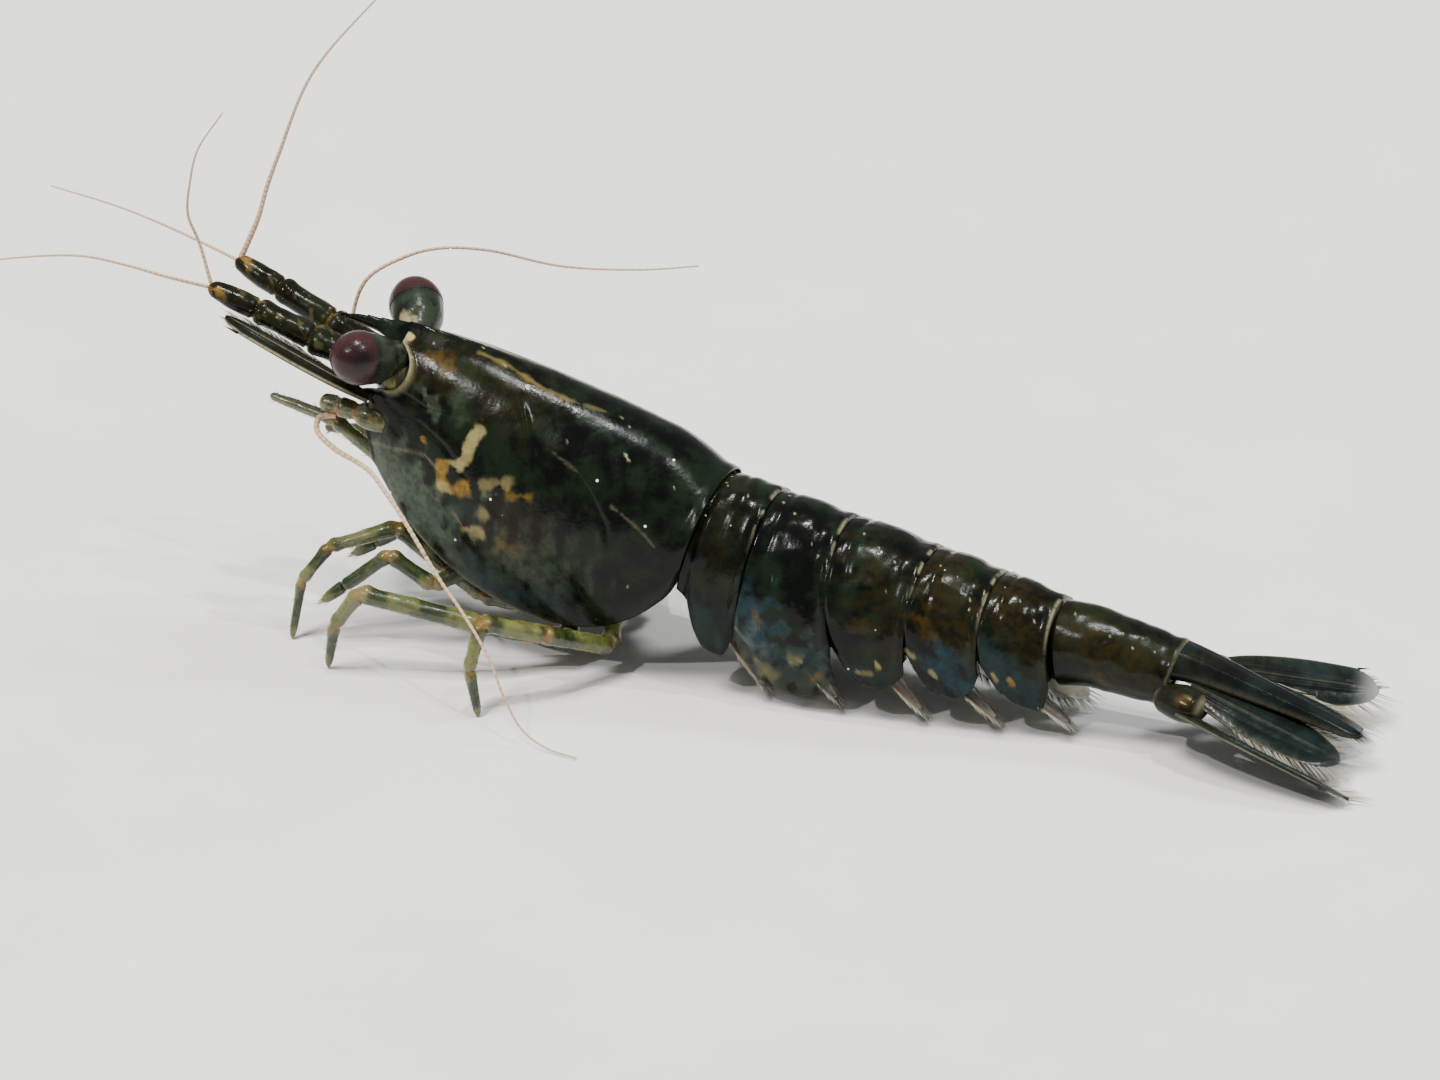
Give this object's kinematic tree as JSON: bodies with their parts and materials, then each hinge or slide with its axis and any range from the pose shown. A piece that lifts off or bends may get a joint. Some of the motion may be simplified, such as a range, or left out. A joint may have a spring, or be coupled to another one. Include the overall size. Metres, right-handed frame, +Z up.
{
  "type": "dwarf freshwater shrimp",
  "caption": "Life-size dark green freshwater shrimp standing on its legs and tail fan, with stalked eyes, feelers, claws, legs, ringed abdomen and swimmerets.",
  "frame": {"origin": "middle of the footprint, on the floor the shrimp stands on", "axes": "+X from head to tail, +Y towards the animal's right side, +Z up"},
  "size_m": [0.035, 0.0122, 0.0152],
  "materials": {
    "shell": "glossy, slightly translucent green-black shell with gold flecks",
    "soft_shell": "satin olive skin",
    "eye": "wet gloss maroon",
    "limb": "glossy yellow-green with dark green bands",
    "feeler": "satin pale tan, ringed",
    "fan": "glossy thin grey-green plates with pale rims",
    "paddle": "satin pale translucent blades"
  },
  "bodies": {
    "root": {"carapace": "shell", "rostrum": "shell", "underbody": "soft_shell", "abdomen_1": "shell", "abdomen_2": "shell", "abdomen_3": "shell", "abdomen_4": "shell", "abdomen_5": "shell", "abdomen_6": "shell", "telson": "fan", "eye_left": "eye", "eyestalk_left": "soft_shell", "antennule_base_left": "limb", "antennule_outer_left": "feeler", "antennule_inner_left": "feeler", "antenna_scale_left": "fan", "antenna_base_left": "limb", "antenna_1_left": "feeler", "antenna_2_left": "feeler", "maxilliped_left": "limb", "cheliped_1_left": "limb", "cheliped_2_left": "limb", "walking_leg_3_left": "limb", "walking_leg_4_left": "limb", "walking_leg_5_left": "limb", "pleopod_1_left": "paddle", "pleopod_2_left": "paddle", "pleopod_3_left": "paddle", "pleopod_4_left": "paddle", "pleopod_5_left": "paddle", "uropod_base_left": "fan", "uropod_inner_left": "fan", "uropod_outer_left": "fan", "eye_right": "eye", "eyestalk_right": "soft_shell", "antennule_base_right": "limb", "antennule_outer_right": "feeler", "antennule_inner_right": "feeler", "antenna_scale_right": "fan", "antenna_base_right": "limb", "antenna_1_right": "feeler", "antenna_2_right": "feeler", "maxilliped_right": "limb", "cheliped_1_right": "limb", "cheliped_2_right": "limb", "walking_leg_3_right": "limb", "walking_leg_4_right": "limb", "walking_leg_5_right": "limb", "pleopod_1_right": "paddle", "pleopod_2_right": "paddle", "pleopod_3_right": "paddle", "pleopod_4_right": "paddle", "pleopod_5_right": "paddle", "uropod_base_right": "fan", "uropod_inner_right": "fan", "uropod_outer_right": "fan"}
  },
  "joints": []
}
